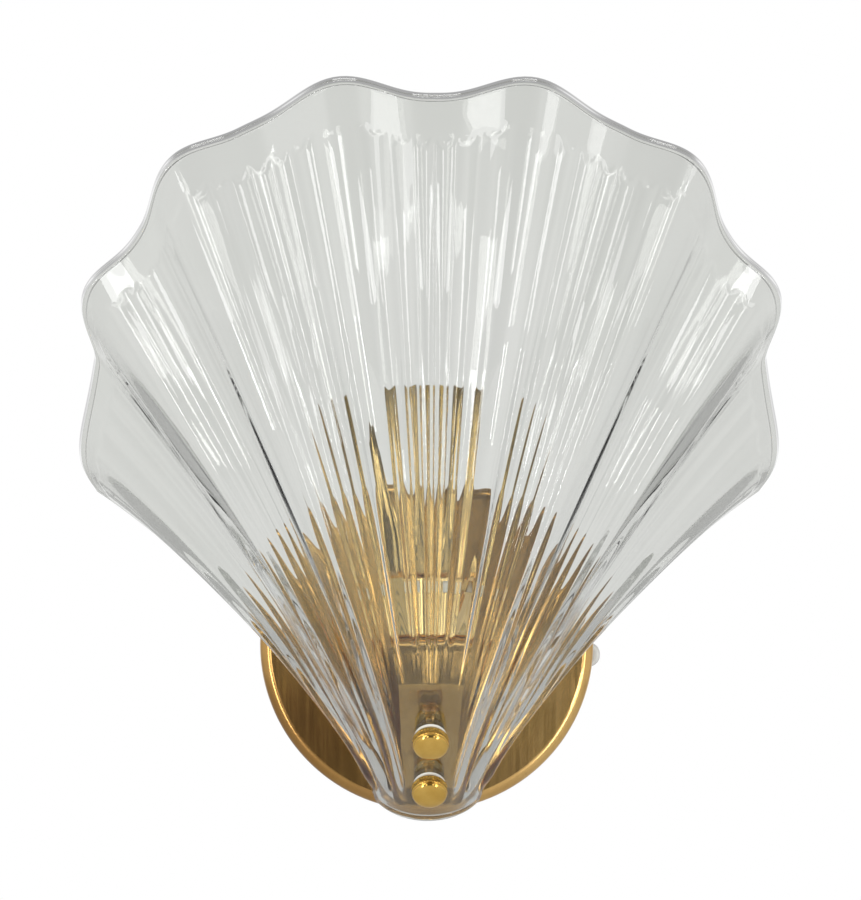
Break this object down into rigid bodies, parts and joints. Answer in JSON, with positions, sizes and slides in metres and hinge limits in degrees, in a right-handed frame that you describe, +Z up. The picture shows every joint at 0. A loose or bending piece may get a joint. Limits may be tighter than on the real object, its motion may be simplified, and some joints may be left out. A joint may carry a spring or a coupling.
{
  "type": "wall sconce",
  "caption": "Wall sconce with a fluted clear-glass scallop shell clamped by knurled knobs to a brass arm, a small screw lampholder and reflector on a round brass wall plate.",
  "frame": {"origin": "centre of the wall plate's back, on the wall plane", "axes": "+Y into the wall, +Z up, +X to the right as seen from the room"},
  "size_m": [0.2448, 0.1255, 0.2555],
  "materials": {
    "clear_glass": "clear pressed glass",
    "satin_brass": "brushed, lightly aged",
    "polished_brass": "polished",
    "screw_brass": "turned",
    "zinc_steel": "zinc plated",
    "white_nylon": "smooth",
    "clear_rubber": "soft, translucent",
    "white_ceramic": "glazed",
    "clear_vinyl": "clear, soft",
    "brown_vinyl": "smooth",
    "blue_vinyl": "smooth",
    "green_vinyl": "smooth",
    "block_plastic": "moulded",
    "black_rubber": "matt"
  },
  "bodies": {
    "lamp": {"glass_shell": "clear_glass", "wall_plate": "satin_brass", "bracket_arm": "satin_brass", "reflector_plate": "polished_brass", "lamp_cup": "polished_brass", "lamp_collar": "polished_brass", "arm_screws": "screw_brass", "arm_nuts": "screw_brass", "rim_screws": "screw_brass", "stud_nuts": "screw_brass", "upper_stud": "screw_brass", "lower_stud": "screw_brass", "lamp_nipple": "screw_brass", "nipple_nut": "screw_brass", "nipple_ring": "screw_brass", "lamp_screw_shell": "screw_brass", "centre_contact": "screw_brass", "terminal_screws": "screw_brass", "earth_screw": "screw_brass", "earth_lug": "screw_brass", "wall_strap": "zinc_steel", "upper_pad": "clear_rubber", "lower_pad": "clear_rubber", "lamp_insert": "white_ceramic", "supply_lead": "clear_vinyl", "live_lead": "brown_vinyl", "neutral_lead": "blue_vinyl", "earth_lead": "green_vinyl", "terminal_block": "block_plastic", "lead_grommet": "black_rubber"},
    "upper_washer": {"upper_washer": "white_nylon"},
    "upper_knob": {"upper_knob": "polished_brass"},
    "lower_washer": {"lower_washer": "white_nylon"},
    "lower_knob": {"lower_knob": "polished_brass"}
  },
  "joints": [
    {"name": "upper_washer_slide", "type": "slide", "parent": "lamp", "child": "upper_washer", "axis": [0, -0.788, -0.6157], "range_m": [0, 0.00489]},
    {"name": "upper_knob_turn", "type": "hinge", "parent": "upper_washer", "child": "upper_knob", "pos_m": [0, -0.05838, -0.02911], "axis": [0, -0.788, -0.6157], "range_deg": [0, 2520]},
    {"name": "lower_washer_slide", "type": "slide", "parent": "lamp", "child": "lower_washer", "axis": [0, -0.788, -0.6157], "range_m": [0, 0.00489]},
    {"name": "lower_knob_turn", "type": "hinge", "parent": "lower_washer", "child": "lower_knob", "pos_m": [0, -0.04355, -0.04696], "axis": [0, -0.788, -0.6157], "range_deg": [0, 2520]}
  ],
  "couplings": [
    {"joint": "upper_knob_turn", "follows": "upper_washer_slide", "rad_per_m": 8976},
    {"joint": "lower_knob_turn", "follows": "lower_washer_slide", "rad_per_m": 8976}
  ]
}
